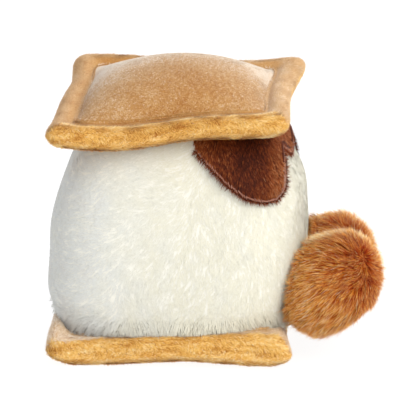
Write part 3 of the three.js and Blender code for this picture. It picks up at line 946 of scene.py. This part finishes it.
def clear_of_base(x, y, z):
    across = (BASE_HALF - ROLL) * pulled_in(x, BASE_HALF)
    edge = -across * (1 - drawn_in(x, -across))
    above = z - (BASE["height"] + base_lift(x, -across))
    clear = ROLL + FOOT["base_gap"]
    pushed = np.minimum(y, edge - np.sqrt(np.clip(clear**2 - np.maximum(above, 0) ** 2, 0, None)))
    return np.where(above < clear, pushed, y)


def foot_surface(at):
    columns, rows = ((84, 60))
    around = np.arange(columns)[None] / columns * 2 * math.pi
    up = np.linspace(-math.pi / 2, math.pi / 2, rows)[:, None]
    ball = np.stack([np.cos(up) * np.cos(around), np.cos(up) * np.sin(around), np.sin(up) + 0 * around], -1)
    n = FOOT["squareness"]
    ball = ball * (np.abs(ball) ** n).sum(-1, keepdims=True) ** (-1 / n)
    lower_front = (ball[..., 1] < 0) & (ball[..., 2] < 0)
    ball[..., 1] *= np.where(lower_front, 1 + FOOT["sole"] * ball[..., 2], 1)
    ball[..., 2] *= 1 - FOOT["instep"] * np.clip(ball[..., 1], 0, 1) * (ball[..., 2] > 0)
    ball = ball * FOOT["size"]
    a = math.radians(FOOT["pitch"])
    x = ball[..., 0] + at[0]
    y = ball[..., 1] * math.cos(a) - ball[..., 2] * math.sin(a) + at[1]
    z = ball[..., 1] * math.sin(a) + ball[..., 2] * math.cos(a) + at[2]
    y = np.minimum(y, body_front(x, z) - FOOT["body_gap"])
    surface = Surface(np.stack([x, clear_of_base(x, y, z), z], -1))
    surface.push(-SKIN_INSET["foot"])
    return surface


def plump_foot(name, seed):
    at = np.array(FOOT_AT[name], float)
    surface = foot_surface(at)
    skin(f"{name}_skin", surface, foot_ground, name)
    free = surface.points[:, 1] < body_front(surface.points[:, 0], surface.points[:, 2]) - 1
    roots = surface.scatter(8200, np.where(free, 1.0, 0.05), seed)
    place = roots["place"]
    whorl = at + np.array(WHORL)
    away = np.linalg.norm(place - whorl, axis=1)
    near = bell(away, 0, 15)
    comb = unit(place - whorl) + np.array([0, 0.3, -0.2])
    comb = comb + (0.25 + 0.35 * near[:, None]) * wobbly_way(place, 8, seed)
    # A ridge along the top of the foot, where the pile stands up more; its paler tone is a painted rim
    # highlight.
    seam = bell(place[:, 0], at[0] - 0.5 + 1.2 * wobble(place, 12, seed + 9), 2.4)
    seam = seam * smoothstep(place[:, 2], at[2] - 6, at[2] + 10)
    tone = 0.3 - 0.3 * near + 0.16 * smoothstep(away, 8, 30) + 0.07 * wobble(place, 5, seed + 8)
    # The far foot, foot_left, is painted darker: painted shade from the near foot.
    tone = tone + 0.7 * seam - 0.1 * (name == "foot_left")
    pile(f"{name}_fur", roots, comb, foot_material, "foot_fur", length=4.6, width=0.18,
         lift=0.38 + 0.12 * near + 0.34 * seam, tone=tone, normal_blend=0.75, seed=seed + 1,
         clump=(4, 0.55, 0.2), droop=0.5, tone_noise=0.32, twist=0.3)


plump_foot("foot_left", 71)
plump_foot("foot_right", 81)

# ---- Stage, light and camera ----
CAMERA_AZIMUTH = math.radians(-85.5)
CAMERA_ELEVATION = math.radians(13)
CAMERA_DISTANCE = 1500
PIXELS_PER_MM = 2.612
FRAME_PIXELS = 416
SENSOR = 36
TARGET = np.array([0, -10.94, 51.0]) + SHIFT
FLOOR_HALF = 4  # metres
FLOOR_HEIGHT = -0.0006  # metres, among the tips of the pile under the toy
scene = bpy.context.scene
scene.view_settings.view_transform = "Standard"
back = np.array([math.sin(CAMERA_AZIMUTH) * math.cos(CAMERA_ELEVATION),
                 -math.cos(CAMERA_AZIMUTH) * math.cos(CAMERA_ELEVATION),
                 math.sin(CAMERA_ELEVATION)])
right = unit(np.cross([0, 0, 1], back))
up = np.cross(back, right)


def look(obj, place, target):
    away = Vector(place) - Vector(target)
    obj.matrix_world = Matrix.Translation(Vector(place)) @ away.to_track_quat("Z", "Y").to_matrix().to_4x4()


def add_camera():
    data = bpy.data.cameras.new("camera")
    data.sensor_width = SENSOR
    data.lens = PIXELS_PER_MM * CAMERA_DISTANCE * SENSOR / FRAME_PIXELS
    camera = bpy.data.objects.new("camera", data)
    scene.collection.objects.link(camera)
    look(camera, (TARGET + back * CAMERA_DISTANCE) * MM, TARGET * MM)
    scene.camera = camera


def area_light(name, place, size, power, colour):
    """place is in metres: so far to the camera's right, up, and towards it, from the toy."""
    r, u, b = place
    data = bpy.data.lights.new(name, "AREA")
    data.size = size
    data.energy = power
    data.color = colour
    light = bpy.data.objects.new(name, data)
    scene.collection.objects.link(light)
    look(light, (TARGET + (right * r + up * u + back * b) * 1000) * MM, TARGET * MM)


def white_surround():
    """A dim cool surround to light by, which the camera sees as plain white."""
    world = bpy.data.worlds.new("world")
    scene.world = world
    world.use_nodes = True
    tree = world.node_tree
    background = tree.nodes["Background"]
    background.inputs["Color"].default_value = (0.95, 0.975, 1.04, 1)
    background.inputs["Strength"].default_value = 0.66
    seen = tree.nodes.new("ShaderNodeBackground")
    seen.inputs["Color"].default_value = (1, 1, 1, 1)
    seen.inputs["Strength"].default_value = 1.0
    path = tree.nodes.new("ShaderNodeLightPath")
    mix = tree.nodes.new("ShaderNodeMixShader")
    tree.links.new(path.outputs["Is Camera Ray"], mix.inputs["Fac"])
    tree.links.new(background.outputs["Background"], mix.inputs[1])
    tree.links.new(seen.outputs["Background"], mix.inputs[2])
    tree.links.new(mix.outputs["Shader"], tree.nodes["World Output"].inputs["Surface"])


def pale_floor():
    corners = [(-FLOOR_HALF, -FLOOR_HALF, 0), (FLOOR_HALF, -FLOOR_HALF, 0), (FLOOR_HALF, FLOOR_HALF, 0),
               (-FLOOR_HALF, FLOOR_HALF, 0)]
    mesh = bpy.data.meshes.new("floor")
    mesh.from_pydata(corners, [], [(0, 1, 2, 3)])
    floor = bpy.data.objects.new("floor", mesh)
    scene.collection.objects.link(floor)
    floor.location.z = FLOOR_HEIGHT
    material, _, shader = new_material("floor", roughness=0.9)
    shader.inputs["Base Color"].default_value = (0.12, 0.12, 0.12, 1)
    shader.inputs["Emission Color"].default_value = (1, 1, 1, 1)
    shader.inputs["Emission Strength"].default_value = 0.92
    mesh.materials.append(material)


add_camera()
area_light("key", (0.75, 0.55, 0.9), 0.9, 12.5, (1, 0.965, 0.87))
area_light("fill", (0.1, -0.12, 1.3), 0.9, 3.6, (1, 0.98, 0.94))
area_light("rim", (0.2, 1.0, -0.9), 1.2, 9.0, (1, 0.99, 0.96))
white_surround()
pale_floor()
